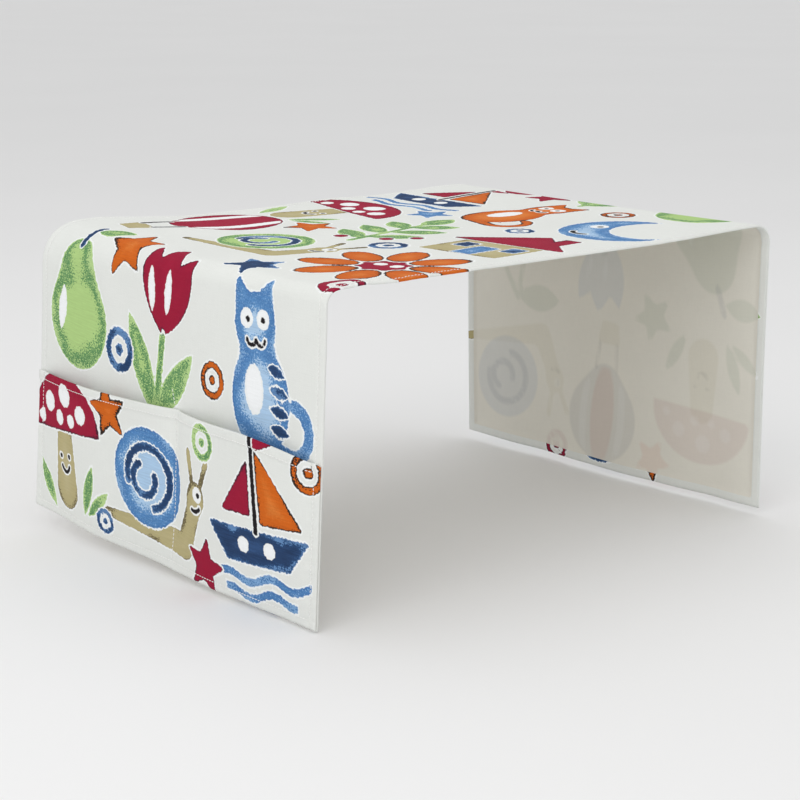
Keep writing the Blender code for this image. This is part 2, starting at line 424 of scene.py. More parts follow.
# Motifs of the print: for each layer its ink, or first and second for those that the layout gives, and
# its shapes in the motif's own millimetres
BALLOON_BAG = (melted, 18, (circle, 0, 20, 36), (circle, 0, -12, 11))
MOTIFS = {
    "cat": (
        (
            "first", (melted, 12, (oval, 0, -20, 28, 35), (circle, -3, 27, 20)),
            (polygon, 1.5, (-21, 30), (-19, 54), (-6, 43)), (polygon, 1.5, (15, 30), (13, 54), (0, 43)),
            (stroke, 6, -50, 30, -53, 5.5, 5.0), (arc, 30, -37, 16, -90, 80, 4.6),
        ),
        (
            "second", (leaf, 8, 2, 24, -4, 3.4), (leaf, 9, -12, 27, -16, 3.6),
            (leaf, 9, -24, 27, -28, 3.6), (leaf, 9, -36, 27, -40, 3.6),
        ),
        ("pale", (oval, -6, -14, 8, 14), (circle, -11, 30, 5.2), (circle, 5, 30, 5.2)),
        ("line", (circle, -10, 29.5, 2.2), (circle, 5, 29.5, 2.2)),
        ("line", (arc, -7, 18, 4.5, 190, 350, 1.3), (arc, 2, 18, 4.5, 190, 350, 1.3)),
    ),
    "pear": (
        ("first", (melted, 20, (circle, 0, -18, 36), (circle, 4, 22, 19)), (leaf, 11, 50, 44, 60, 8.5)),
        ("navy", (stroke, 5, 36, 9, 58, 2.6, 2.4)),
        ("pale", (leaf, -24, -26, -16, 4, 3.8)),
    ),
    "tulip": (
        ("first", (leaf, 0, 2, 0, 62, 14), (leaf, -2, 0, -23, 55, 11), (leaf, 2, 0, 23, 55, 11)),
        ("second", (stroke, 0, 12, -3, -58, 3.0, 3.2)),
        ("second", (leaf, -3, -54, -37, 4, 9.5), (leaf, -3, -56, 31, -4, 9)),
        ("pale", (leaf, -13, 12, -16, 38, 2.6), (leaf, 2, 14, 3, 40, 2.4)),
    ),
    "star": (("first", (star, 46, 21, 3.0)),),
    "rings": (("first", (arc, 0, 0, 25, 30, 372, 6.0), (circle, 0, 0, 8.5)),),
    "balloon": (
        ("first", (within, 2.4, BALLOON_BAG, (oval, 0, 18, 12.5, 42))),
        ("second", BALLOON_BAG),
        ("pale", (within, 2.4, BALLOON_BAG, (gores,))),
        ("beige", (polygon, 1.0, (-11, -42), (11, -42), (8, -58), (-8, -58))),
        ("line", (stroke, -11, -20, -9, -42, 1.7, 1.7), (stroke, 11, -20, 9, -42, 1.7, 1.7)),
    ),
    "boat": (
        ("first", (polygon, 1.5, (-47, -9), (47, -12), (30, -32), (-31, -31))),
        ("second", (polygon, 1.5, (6, -3), (5, 44), (42, -3))),
        ("crimson", (polygon, 1.5, (-6, 2), (-5, 36), (-32, 3)), (polygon, 1.0, (3, 54), (3, 46), (20, 51))),
        ("line", (stroke, 0, -10, 1, 54, 2.0, 1.7)),
        ("pale", (circle, -14, -20, 4.4), (circle, 12, -21, 4.4)),
        ("blue", (wave, -43, 50), (wave, -54, 36)),
    ),
    "moon": (
        ("first", (cut, (circle, 0, 0, 38), (circle, 20, 10, 30))),
        ("pale", (circle, -20, 8, 5.0)),
        ("line", (circle, -19, 7.5, 2.2), (arc, -16, -13, 9, 190, 290, 1.6)),
    ),
    "sprig": (
        ("first", (stroke, 0, -54, 0, 36, 2.6, 2.0), (leaf, 0, 24, 2, 60, 9.5)),
        ("first", (leaf, 0, -36, 32, -15, 8.5), (leaf, 0, -12, 33, 9, 8.5), (leaf, 0, 12, 27, 33, 8.5)),
        ("first", (leaf, 0, -42, -32, -21, 8.5), (leaf, 0, -18, -33, 3, 8.5), (leaf, 0, 6, -27, 27, 8.5)),
        ("crimson", (circle, 16, -36, 5), (circle, -15, -44, 5), (circle, 30, -22, 4.6)),
    ),
    "cherries": (
        ("first", (circle, -22, -28, 20), (circle, 22, -35, 18.5)),
        ("second", (stroke, -20, -14, 3, 40, 2.2, 2.2), (stroke, 21, -20, 3, 40, 2.2, 2.2)),
        ("second", (leaf, 3, 38, 46, 46, 10)),
        ("pale", (oval, -29, -21, 3.4, 5.4), (oval, 15, -29, 3.2, 5)),
    ),
    "mushroom": (
        ("first", (dome,)),
        ("beige", (stroke, 0, 4, -3, -38, 11, 15)),
        ("pale", (circle, 4, 31, 7.4), (circle, -21, 24, 6.4), (circle, 26, 19, 5.8)),
        ("pale", (circle, -35, 12, 4.0), (circle, -6, 14, 4.4), (circle, 11, 13, 3.8)),
        ("green", (leaf, 19, -54, 36, -16, 5.5), (leaf, -22, -54, -40, -20, 5.5)),
        ("green", (leaf, 24, -54, 52, -34, 4.5)),
        ("line", (circle, -8, -14, 1.9), (circle, 4, -14, 1.9), (arc, -2, -20, 5.5, 195, 345, 1.4)),
    ),
    "snail": (
        ("first", (circle, -9, 4, 34)),
        ("second", (melted, 6, (stroke, 34, -29, 44, 4, 9.0, 7.5), (circle, 45, 9, 10))),
        ("second", (stroke, -50, -33, 34, -29, 3.2, 9.0)),
        ("second", (stroke, 41, 14, 34, 36, 2.2, 2.6), (stroke, 49, 14, 56, 35, 2.2, 2.6)),
        ("navy", (arc, -9, 4, 21, -70, 200, 2.8), (arc, -13, 2, 11, 120, 385, 2.7)),
        ("pale", (circle, 47, 11, 4.2)),
        ("line", (circle, 48, 11, 2.0), (arc, 44, 6, 7, 250, 330, 1.4)),
    ),
    "daisy": (
        ("first", (petals, 8, 0.4, 31, 17, 10)),
        ("second", (circle, 0, 0, 15)),
        ("pale", (circle, -5, 3, 2.8), (circle, 6, 3, 2.8)),
    ),
    "house": (
        ("first", (box, -32, -42, 32, 8)),
        ("second", (box, -6, -40, 9, -12)),
        ("crimson", (polygon, 2.0, (-44, 6), (44, 8), (2, 47)), (box, 16, 24, 28, 48)),
        ("navy", (box, -25, -18, -14, -5), (box, 16, -18, 27, -5)),
    ),
}


def printed(up, across, layout):
    """For each ink, the distance in millimetres from every place to its nearest edge, below 0 under it."""
    distances = {ink: np.full(up.shape, FAR_FROM_INK) for ink in INKS}
    for motif, centre_up, centre_across, size, turn, inks in layout:
        dx, dy = centre_across - across, up - centre_up
        near = np.hypot(dx, dy) < MOTIF_REACH * size
        cos, sin = math.cos(math.radians(turn)), math.sin(math.radians(turn))
        x = (dx[near] * cos + dy[near] * sin) / size
        y = (dy[near] * cos - dx[near] * sin) / size
        given = dict(zip(("first", "second"), inks.split()))
        for ink, *shapes in MOTIFS[motif]:
            distance = distances[given.get(ink, ink)]
            distance[near] = np.minimum(distance[near], drawn(x, y, *shapes) * size)
    return distances


# Shapes of the cloth, as functions of two parameters on a grid. Rows run up the cloth and columns across.


def between(rows, across):
    """Each column of a three-row table on the parabola a + b v + c v^2 through its rows, v from 0 to 1."""
    values = {}
    for name, front, middle, back in zip(END_COLUMNS, *rows):
        slope = 4 * middle - 3 * front - back
        curve = 2 * front + 2 * back - 4 * middle
        values[name] = front + slope * across + curve * across**2
    return values


def hump(distance, reach):
    """Half a cosine wave: (1 + cos(pi d / reach)) / 2 within the reach and 0 beyond it."""
    return np.where(np.abs(distance) < reach, 0.5 * (1 + np.cos(np.pi * distance / reach)), 0.0)


def hanging_end(end, folds, drop, across, width):
    """Distance out, y and z of a hanging end.

    out = out_top + (out_hem - out_top) d^1.6 + folds d^1.3, where the drop d runs from 0 at the bend to 1
    at the hem, y = width (v - 1/2) + skew d, and z falls evenly from the bend to the hem.
    """
    bend_z = end["lift"] + FACE_HEIGHT - end["bend"]
    out = end["out_top"] + (end["out_hem"] - end["out_top"]) * drop**FLARE_POWER
    for place, reach, height in folds:
        out = out + height * hump(across - place, reach) * drop**FOLD_POWER
    y = width * (across - 0.5) + end["skew"] * drop
    z = bend_z + (end["hem"] - bend_z) * drop
    return out, y, z


def bend(end, turn, across, width):
    """Quarter circle of radius r: out by out_top - r (1 - cos a), up to lift + face - r (1 - sin a)."""
    out = end["out_top"] - end["bend"] * (1 - np.cos(turn))
    z = end["lift"] + FACE_HEIGHT - end["bend"] * (1 - np.sin(turn))
    return out, width * (across - 0.5) + 0 * turn, z


def flat_top(left, right, share, across, width):
    """x runs evenly between the two bends, and z is the face's height, the two lifts and the low rises."""
    start = -COVERED_WIDTH / 2 - left["out_top"] + left["bend"]
    end = COVERED_WIDTH / 2 + right["out_top"] - right["bend"]
    x = start + (end - start) * share
    z = FACE_HEIGHT + left["lift"] * hump(x - start, LIFT_REACH) + right["lift"] * hump(end - x, LIFT_REACH)
    fade = np.clip(np.minimum(x - start, end - x) / RISE_MARGIN, 0, 1)
    for rise_x, place, reach_x, reach, height in TOP_RISES:
        z = z + height * hump(x - rise_x, reach_x) * hump(across - place, reach) * fade
    return x, width * (across - 0.5) + 0 * share, z


def cover_face(flap, across, width):
    """Outer face of the cover from the left hem to the right one: an end, a bend, the top, a bend, an end.

    flap holds the rows of an end, as shares from its hem to its bend. Gives an array of rows, columns, 3.
    """
    left, right = between(LEFT_END, across), between(RIGHT_END, across)
    turn = np.linspace(0, np.pi / 2, BEND_ROWS + 1)[1:-1, None]
    share = np.linspace(0, 1, even_count(TOP_LENGTH / GRID_STEP) + 1)[:, None]
    sides = []
    for side, end, folds in ((-1, left, LEFT_FOLDS), (1, right, RIGHT_FOLDS)):
        hanging = hanging_end(end, folds, 1 - flap[:, None], across, width)
        for out, y, z in (hanging, bend(end, turn, across, width)):
            sides.append(np.stack((side * (COVERED_WIDTH / 2 + out), y, z), -1))
    top = np.stack(flat_top(left, right, share, across, width), -1)
    return np.concatenate((*sides[:2], top, sides[3][::-1], sides[2][::-1]))


def pocket_face(rise, across, width):
    """Inner face of the pocket panel, which follows the left end and opens towards its mouth.

    Off the end by gap + open sin(pi u)^0.6 rise^0.65, where u runs across each pocket between its seams.
    """
    rise = rise[:, None]
    left = between(LEFT_END, across)
    bend_z = left["lift"] + FACE_HEIGHT - left["bend"]
    low = left["hem"] + POCKET_HEM_INSET
    droop = POCKET_TOP_DROP * np.maximum(0, 1 - across / POCKET_DROP_REACH) ** POCKET_DROP_POWER
    drop = (low + (POCKET_TOP - droop - low) * rise - bend_z) / (left["hem"] - bend_z)
    out, y, z = hanging_end(left, LEFT_FOLDS, drop, across, width)
    front = across <= POCKET_DIVIDER
    first = np.where(front, SIDE_SEAM, POCKET_DIVIDER + DIVIDER_SEAM)
    last = np.where(front, POCKET_DIVIDER - DIVIDER_SEAM, 1 - SIDE_SEAM)
    share = np.clip((across - first) / (last - first), 0, 1)
    gap = SEAM_GAP + MOUTH_OPEN * np.sin(np.pi * share) ** MOUTH_ROUNDNESS * rise**MOUTH_TAPER
    return np.stack((-COVERED_WIDTH / 2 - out - gap, y, z), -1)


def even_count(steps):
    """The even whole number nearest to a count of steps."""
    return 2 * round(steps / 2)


def hemmed_rows(length, step, both_ends):
    """Distances in millimetres from a hem: its own close rows, then even steps, and the other hem's rows."""
    hem = np.array(HEM_ROWS)
    end = length - hem[-1] if both_ends else length
    middle = np.linspace(hem[-1], end, even_count((end - hem[-1]) / step) + 1)[1:]
    rows = np.concatenate((hem, middle))
    if both_ends:
        rows = np.concatenate((rows, length - hem[-2::-1]))
    return rows


def normals(points):
    """Unit normals of a grid: the cross product of its slopes along the rows and the columns."""
    across = np.cross(np.gradient(points, axis=0), np.gradient(points, axis=1))
    return across / np.linalg.norm(across, axis=-1, keepdims=True)


def walked_up(points):
    """Distance along the columns of a grid from its first row, in millimetres."""
    steps = np.linalg.norm(np.diff(points, axis=0), axis=-1)
    return np.concatenate((np.zeros((1, steps.shape[1])), np.cumsum(steps, axis=0))) * 1000


def smooth_step(value, low, high):
    """3 q^2 - 2 q^3, where q goes from 0 at low to 1 at high."""
    share = np.clip((value - low) / (high - low), 0, 1)
    return share * share * (3 - 2 * share)


def in_hem(from_edge):
    """1 in a turned hem and 0 beyond it, by a smooth step at its inner edge."""
    return smooth_step(from_edge, HEM_WIDTH + HEM_FADE_OUT, HEM_WIDTH - HEM_FADE_IN)


def seam_relief(from_seam, along):
    """A sewn line: -depth exp(-(d / spread)^2), and puckers beside it, drifting sines that fade away."""
    groove = -SEAM_DEPTH * np.exp(-((from_seam / SEAM_SPREAD) ** 2))
    waves = sum(
        share * np.sin(along / length + drift * np.sin(along / drift_length))
        for length, drift, drift_length, share in PUCKER_WAVES
    )
    fade = np.exp(-((from_seam / PUCKER_SPREAD) ** 2)) * (0.6 + 0.4 * np.sin(along / PUCKER_SWELL))
    return groove + PUCKER_HEIGHT * waves * fade


def wrinkle_relief(up, across, wrinkles):
    """Soft troughs and ridges: height exp(-(d / w)^2) by the distance d to each line, fading along it."""
    relief = np.zeros_like(up)
    for start_up, start_across, end_up, end_across, width, height in wrinkles:
        share, away = nearest_on_line(up, across, start_up, start_across, end_up, end_across)
        relief += height * np.exp(-((away / width) ** 2)) * (1 - WRINKLE_FADE * share)
    return relief


def edge_relief(from_edge):
    """The rounded fold of a hem: -r exp(-d / r)."""
    return -EDGE_ROUNDING * np.exp(-from_edge / EDGE_ROUNDING)


def quads(ids):
    """The four corners of each cell of a grid of vertex numbers."""
    return np.stack((ids[:-1, :-1], ids[1:, :-1], ids[1:, 1:], ids[:-1, 1:]), -1).reshape(-1, 4)


def cloth_mesh(name, outer, inner, up, across, hem_band, distances):
    """A closed sheet from a fine outer grid and an inner grid that has every other row and column of it.

    A rim of five-sided faces joins them. Material 0 is the printed face, which also shows on the turned
    hem inside, and material 1 is the reverse.
    """
    outer_ids = np.arange(up.size).reshape(up.shape)
    inner_ids = up.size + np.arange(hem_band.size).reshape(hem_band.shape)
    faces = quads(outer_ids).tolist()
    first_inner = len(faces)
    faces += quads(inner_ids)[:, ::-1].tolist()
    for edge in (np.s_[0], np.s_[::-1, 0], np.s_[-1, ::-1], np.s_[:, -1]):
        fine, coarse = outer_ids[edge], inner_ids[edge]
        faces += np.stack((fine[:-2:2], fine[1:-1:2], fine[2::2], coarse[1:], coarse[:-1]), -1).tolist()
    mesh = bpy.data.meshes.new(name)
    mesh.from_pydata(np.concatenate((outer.reshape(-1, 3), inner.reshape(-1, 3))).tolist(), [], faces)
    band = (hem_band[:-1, :-1] & hem_band[1:, 1:]).ravel()
    materials = np.zeros(len(faces), np.int32)
    materials[first_inner : first_inner + len(band)] = np.where(band, 0, 1)
    mesh.polygons.foreach_set("material_index", materials)
    places = np.stack((across, up), -1) / 1000
    places = np.concatenate((places.reshape(-1, 2), places[::2, ::2].reshape(-1, 2)))
    corner_ids = np.empty(len(mesh.loops), np.int32)
    mesh.loops.foreach_get("vertex_index", corner_ids)
    mesh.uv_layers.new(name="cloth").data.foreach_set("uv", places[corner_ids].astype(np.float32).ravel())
    for ink, distance in distances.items():
        values = np.concatenate((distance.ravel(), distance[::2, ::2].ravel())).astype(np.float32)
        mesh.attributes.new("ink_" + ink, "FLOAT", "POINT").data.foreach_set("value", values)
    mesh.shade_smooth()
    mesh.validate()
    return mesh


def piece(name, mesh, *materials):
    """An object at the origin with its materials, which rides on the part's one body."""
    made = bpy.data.objects.new(name, mesh)
    bpy.context.scene.collection.objects.link(made)
    for material in materials:
        made.data.materials.append(material)
    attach(made, "root")
    return made


def at_grid(points, rows, columns):
    """Points between a grid's own, by fractions of the four round each: the usual bilinear blend."""
    row = np.clip(rows.astype(int), 0, points.shape[0] - 2)
    column = np.clip(columns.astype(int), 0, points.shape[1] - 2)
    up, aside = (rows - row)[:, None], (columns - column)[:, None]
    low = points[row, column] * (1 - aside) + points[row, column + 1] * aside
    high = points[row + 1, column] * (1 - aside) + points[row + 1, column + 1] * aside
    return low * (1 - up) + high * up


def stitches_along(points, rows, columns):
    """Middle, run direction and normal of each stitch on a line of a grid, evenly spaced by length."""
    line = at_grid(points, rows, columns)
    raised = at_grid(normals(points), rows, columns)
    walked = np.concatenate(([0.0], np.cumsum(np.linalg.norm(np.diff(line, axis=0), axis=1))))
    places = np.arange(STITCH_PITCH, walked[-1] - STITCH_PITCH / 2, STITCH_PITCH)

    def along(values, wanted):
        return np.stack([np.interp(wanted, walked, values[:, i]) for i in range(3)], -1)

    middle, normal = along(line, places), along(raised, places)
    run = along(line, places + STITCH_LENGTH / 2) - along(line, places - STITCH_LENGTH / 2)
    run /= np.linalg.norm(run, axis=1, keepdims=True)
    return middle, run, normal / np.linalg.norm(normal, axis=1, keepdims=True)


def thread_mesh(name, lines):
    """Every stitch of some sewn lines: a bowed spindle r sqrt(1 - u^2), whose ends dip into the cloth."""
    share = np.linspace(-1, 1, STITCH_RINGS + 2)
    around = np.arange(STITCH_SIDES) * 2 * np.pi / STITCH_SIDES
    radius = THREAD_RADIUS * (1 - share[1:-1, None] ** 2) ** 0.35
    forward = np.repeat(share[1:-1] * STITCH_LENGTH / 2, STITCH_SIDES)
    bow = THREAD_RADIUS * (0.9 - 1.4 * share**2)
    upward = (bow[1:-1, None] + radius * np.cos(around)).ravel()
    sideways = (radius * np.sin(around)).ravel()
    forward = np.concatenate((forward, [-STITCH_LENGTH / 2, STITCH_LENGTH / 2]))
    upward = np.concatenate((upward, [bow[0], bow[-1]]))
    sideways = np.concatenate((sideways, [0.0, 0.0]))
    middle, run, normal = (np.concatenate(parts) for parts in zip(*lines))
    side = np.cross(normal, run)
    points = middle[:, None] + run[:, None] * forward[:, None] + normal[:, None] * upward[:, None]
    points = points + side[:, None] * sideways[:, None]
    ids = np.arange(STITCH_RINGS * STITCH_SIDES).reshape(STITCH_RINGS, STITCH_SIDES)
    after = np.roll(ids, -1, axis=1)
    sides = np.stack((ids[:-1], after[:-1], after[1:], ids[1:]), -1).reshape(-1, 4)
    first_pole, last_pole = ids.size, ids.size + 1
    caps = [(first_pole, int(b), int(a)) for a, b in zip(ids[0], after[0])]
    caps += [(last_pole, int(a), int(b)) for a, b in zip(ids[-1], after[-1])]
    starts = np.arange(len(middle)) * (ids.size + 2)
    faces = (sides[None] + starts[:, None, None]).reshape(-1, 4).tolist()
    faces += (np.array(caps)[None] + starts[:, None, None]).reshape(-1, 3).tolist()
    mesh = bpy.data.meshes.new(name)
    mesh.from_pydata(points.reshape(-1, 3).tolist(), [], faces)
    mesh.shade_smooth()
    return mesh


def divider_place(height, width):
    """How far across the cloth the dividing seam lies at a height above the hem, in millimetres."""
    heights, shifts = zip(*DIVIDER_RUN)
    return POCKET_DIVIDER * width + np.interp(height, heights, shifts)


def row_at(distances, wanted):
    """Fractional number of the row or column that lies at a distance."""
    return np.interp(wanted, distances, np.arange(len(distances)))


def sewn_lines(outer, up, columns, first, divider=None):
    """The sewn lines of a panel: its side hems from a first height up, its end hems and the dividing seam.

    The seam runs between two heights where they are given, and else as far as the side hems do.
    """
    last_row, last_column = outer.shape[0] - 1, outer.shape[1] - 1
    middle = up[:, up.shape[1] // 2]
    side = row_at(columns, STITCH_INSET)
    rows = np.linspace(row_at(middle, first), last_row, 4 * last_row)
    lines = []
    for column in (side, last_column - side):
        lines.append(stitches_along(outer, rows, np.full(rows.shape, column)))
    across = np.linspace(side, last_column - side, 4 * last_column)
    for row in (row_at(middle, STITCH_INSET), last_row - row_at(middle[-1] - middle[::-1], STITCH_INSET)):
        lines.append(stitches_along(outer, np.full(across.shape, row), across))
    if divider:
        rows = np.linspace(*row_at(middle, divider), DIVIDER_SAMPLES)
    place = divider_place(np.interp(rows, np.arange(len(middle)), middle), columns[-1])
    lines.append(stitches_along(outer, rows, row_at(columns, place)))
    return lines


# Materials


def add_node(tree, kind, inputs=None, output=0, **settings):
    """Adds a shader node with its properties, and the value or link of each input, and gives one output."""
    node = tree.nodes.new("ShaderNode" + kind)
    for name, value in settings.items():
        setattr(node, name, value)
    for socket, value in (inputs or {}).items():
        if isinstance(value, bpy.types.NodeSocket):
            tree.links.new(value, node.inputs[socket])
        else:
            node.inputs[socket].default_value = value
    return node.outputs[output]


def new_material(name, roughness, sheen):
    """A material with one Principled BSDF, whose roughness, sheen and gloss are set on its own sockets."""
    material = bpy.data.materials.new(name)
    material.use_nodes = True
    shader = material.node_tree.nodes["Principled BSDF"]
    shader.inputs["Roughness"].default_value = roughness
    shader.inputs["Sheen Weight"].default_value = sheen
    shader.inputs["Specular IOR Level"].default_value = 0.12
    return material, material.node_tree, shader


def grains(tree, place, *names):
    """Cloud noise, 0 to 1, over a place: one value for each of the named grains."""
    made = []
    for name in names:
        *repeats, detail = GRAINS[name]
        scaled = add_node(tree, "VectorMath", {0: place, 1: repeats}, operation="MULTIPLY")
        inputs = {"Vector": scaled, "Scale": 1.0, "Detail": detail}
        made.append(add_node(tree, "TexNoise", inputs, "Fac"))
    return made


def pushed(tree, value, cloud, reach):
    """A value that noise moves by up to a reach each way."""
    shift = add_node(tree, "MapRange", {0: cloud, 1: 0.25, 2: 0.75, 3: -reach, 4: reach})
    return add_node(tree, "Math", {0: value, 1: shift}, operation="ADD")


def shaded(tree, colour, pattern, low, high, span=(0.3, 0.7)):
    """A colour times a factor that goes from low to high while a pattern goes over its span."""
    factor = add_node(tree, "MapRange", {0: pattern, 1: span[0], 2: span[1], 3: low, 4: high})
    inputs = {0: 1.0, 6: colour, 7: factor}
    return add_node(tree, "Mix", inputs, data_type="RGBA", blend_type="MULTIPLY", output=2)


def woven(tree):
    """Plain weave: the product of two waves, one across each thread, and longer slubs that run both ways.

    Gives the cloth's place in millimetres and the height of its surface, about 0 to 2.
    """
    place = add_node(tree, "UVMap", uv_map="cloth")
    in_mm = add_node(tree, "VectorMath", {0: place, "Scale": 1000.0}, operation="SCALE")
    parts = add_node(tree, "SeparateXYZ", {0: in_mm}).node.outputs
    waves = []
    for axis in (0, 1):
        inputs = {0: parts[axis], 1: 2 * math.pi / THREAD_SPACING}
        turned = add_node(tree, "Math", inputs, operation="MULTIPLY")
        waves.append(add_node(tree, "Math", {0: turned}, operation="SINE"))
    height = add_node(tree, "Math", {0: waves[0], 1: waves[1], 2: 0.5}, operation="MULTIPLY_ADD")
    for slub in grains(tree, in_mm, "slubs up", "slubs across"):
        height = add_node(tree, "Math", {0: slub, 1: 1.1, 2: height}, operation="MULTIPLY_ADD")
    return in_mm, height


def ground_colour(tree, in_mm, base):
    """The undyed ground: the base colour, a little lighter and darker in wide soft patches."""
    (patches,) = grains(tree, in_mm, "patches")
    return shaded(tree, (*base, 1), patches, 0.98, 1.015)


def lay_on(tree, shader, colour, height, strength, distance):
    """Gives the shader its colour, and a bump of a pattern's height."""
    tree.links.new(colour, shader.inputs["Base Color"])
    bump = add_node(tree, "Bump", {"Strength": strength, "Distance": distance, "Height": height})
    tree.links.new(bump, shader.inputs["Normal"])


def canvas_shading(tree, shader, colour, height):
    """Lays the weave over a colour, with a bump of the threads' height. Painted shade makes the hollows
    between threads a little darker, and painted light makes the threads' tops and the slubs a little
    lighter.
    """
    lay_on(tree, shader, shaded(tree, colour, height, 0.94, 1.04, (0.4, 2.0)), height, 0.55, THREAD_HEIGHT)


def printed_canvas(colours):
    """Cotton and linen canvas, woven plain and printed with pigment: dull, with a dry, slightly uneven face.

    Each ink lies where its distance is below 0. Noise makes its edge wander, a halo of bare ground keeps
    it off the inks below it, and its colour goes by depth, which drifts slowly and is scattered into dots.
    """
    material, tree, shader = new_material("printed canvas", 0.9, 0.02)
    in_mm, height = woven(tree)
    colour = ground_colour(tree, in_mm, colours.ground)
    wander, dots, drift, bristles = grains(tree, in_mm, "wander", "dots", "drift", "bristles")
    for ink, (raggedness, speckle, uneven, streak, colour_stops) in INKS.items():
        given = add_node(tree, "Attribute", output="Fac", attribute_name="ink_" + ink)
        distance = pushed(tree, given, wander, raggedness)
        deep = add_node(tree, "Math", {0: distance, 1: -1.0}, operation="MULTIPLY")
        scattered = pushed(tree, pushed(tree, deep, drift, uneven), dots, speckle)
        plain = pushed(tree, deep, drift, min(uneven, MOST_RIM_DRIFT) / 2)
        rim = add_node(tree, "MapRange", {0: deep, 1: 0.9, 2: 2.4, 3: 1.0, 4: 0.0})
        kept = add_node(tree, "Mix", {0: rim, 2: scattered, 3: plain}, data_type="FLOAT")
        share = add_node(tree, "Math", {0: kept, 1: INK_DEPTH}, operation="DIVIDE")
        ramp = add_node(tree, "ValToRGB", {0: share})
        stops = ramp.node.color_ramp.elements
        stops.remove(stops[1])
        for i, (reach, code) in enumerate(colour_stops):
            stop = stops.new(reach / INK_DEPTH) if i else stops[0]
            stop.color = (*linear(code), 1)
        brushed = shaded(tree, ramp, bristles, 1 - streak, 1 + streak)
        for edge, laid in ((HALO_WIDTH, (*colours.halo, 1)), (0.0, brushed)):
            inputs = {0: distance, 1: edge - 0.3, 2: edge + 0.3, 3: 1.0, 4: 0.0}
            shown = add_node(tree, "MapRange", inputs)
            colour = add_node(tree, "Mix", {0: shown, 6: colour, 7: laid}, data_type="RGBA", output=2)
    canvas_shading(tree, shader, colour, height)
    return material


def canvas_reverse(colours):
    """The same canvas from its unprinted side, where the inks only show through as faint shadows."""
    material, tree, shader = new_material("canvas reverse", 0.92, 0.04)
    in_mm, height = woven(tree)
    colour = ground_colour(tree, in_mm, colours.reverse)
    for ink, look in INKS.items():
        given = add_node(tree, "Attribute", output="Fac", attribute_name="ink_" + ink)
        shown = add_node(tree, "MapRange", {0: given, 1: -1.5, 2: 1.5, 3: SHOW_THROUGH, 4: 0.0})
        tone = (*linear(look[-1][2][1]), 1)
        colour = add_node(tree, "Mix", {0: shown, 6: colour, 7: tone}, data_type="RGBA", output=2)
    canvas_shading(tree, shader, colour, height)
    return material


def sewing_thread(colours):
    """Spun polyester thread: nearly white, with the fine shadow lines of its twist."""
    material, tree, shader = new_material("sewing thread", 0.6, 0.3)
    (fuzz,) = grains(tree, add_node(tree, "TexCoord", output="Object"), "fuzz")
    lay_on(tree, shader, shaded(tree, (*colours.thread, 1), fuzz, 0.88, 1.0), fuzz, 0.4, 0.00008)
    return material


def pale_floor(colours):
    """Smooth pale board, painted matt, which gives a faint soft sheen under the cover."""
    material, tree, shader = new_material("pale floor", 0.7, 0.0)
    (clouds,) = grains(tree, add_node(tree, "TexCoord", output="Object"), "clouds")
    tree.links.new(shaded(tree, (*colours.floor, 1), clouds, 0.985, 1.0), shader.inputs["Base Color"])
    return material


# Settings


def number_setting(name, about, default, low, high, unit="LENGTH"):
    """A number that a user may set, in metres where no other unit is given."""
    return bpy.props.FloatProperty(
        name=name, description=about, default=default, min=low, max=high, precision=4, unit=unit
    )


def colour_setting(name, about, code):
    """A colour that a user may set, with its default as an sRGB hex code."""
    return bpy.props.FloatVectorProperty(
        name=name, description=about, default=linear(code), size=3, min=0, max=1, subtype="COLOR"
    )


class CoverSizes(bpy.types.PropertyGroup):
    """Sizes of the cloth that a user may change."""

    width: number_setting("Width", "Width of the cover from its front edge to its back", 0.390, 0.2, 0.8)
    thickness: number_setting("Cloth thickness", "Thickness of one layer of canvas", 0.0009, 0.0003, 0.002)
    hem_layers: number_setting("Hem thickness", "Extra thickness of a turned hem", 0.0009, 0.0, 0.003)
    divider_start: number_setting("Divider start", "How far above the pockets it starts", 0.018, 0.0, 0.05)


class CoverColours(bpy.types.PropertyGroup):
    """Colours that aren't inks."""

    ground: colour_setting("Ground", "Undyed ground of the printed side", "#E3E5E1")
    halo: colour_setting("Halo", "Bare line round each painted shape", "#EFF1F0")
    reverse: colour_setting("Reverse", "Unprinted side of the canvas", "#E3E0D6")
    thread: colour_setting("Thread", "Sewing thread", "#F6F6F4")
    floor: colour_setting("Floor", "Pale floor", "#EEEEEE")


class CoverStage(bpy.types.PropertyGroup):
    """Floor and lights."""

    floor_gap: number_setting("Floor gap", "How far the floor lies under the lowest hem", 0.001, 0.0, 0.2)
    key: number_setting("Key light", "Power of the large light on the left", 16.0, 0.0, 500.0, "POWER")
    fill: number_setting("Fill light", "Power of the light above", 6.0, 0.0, 500.0, "POWER")
    room: number_setting("Room light", "Strength of the light from all round", 0.78, 0.0, 5.0, "NONE")


# Operators


def make_panel(names, outer, inner, up, across, hem_band, layout, lines):
    """Makes a panel's printed canvas and its stitching, for the names of both and of the solid replaced."""
    cloth_name, thread_name, solid = names
    colours = bpy.context.scene.cover_colours
    mesh = cloth_mesh(cloth_name, outer, inner, up, across, hem_band, printed(up, across, layout))
    cloth = piece(cloth_name, mesh, printed_canvas(colours), canvas_reverse(colours))
    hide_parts(solid)
    thread = piece(thread_name, thread_mesh(thread_name, lines), sewing_thread(colours))
    return cloth, thread


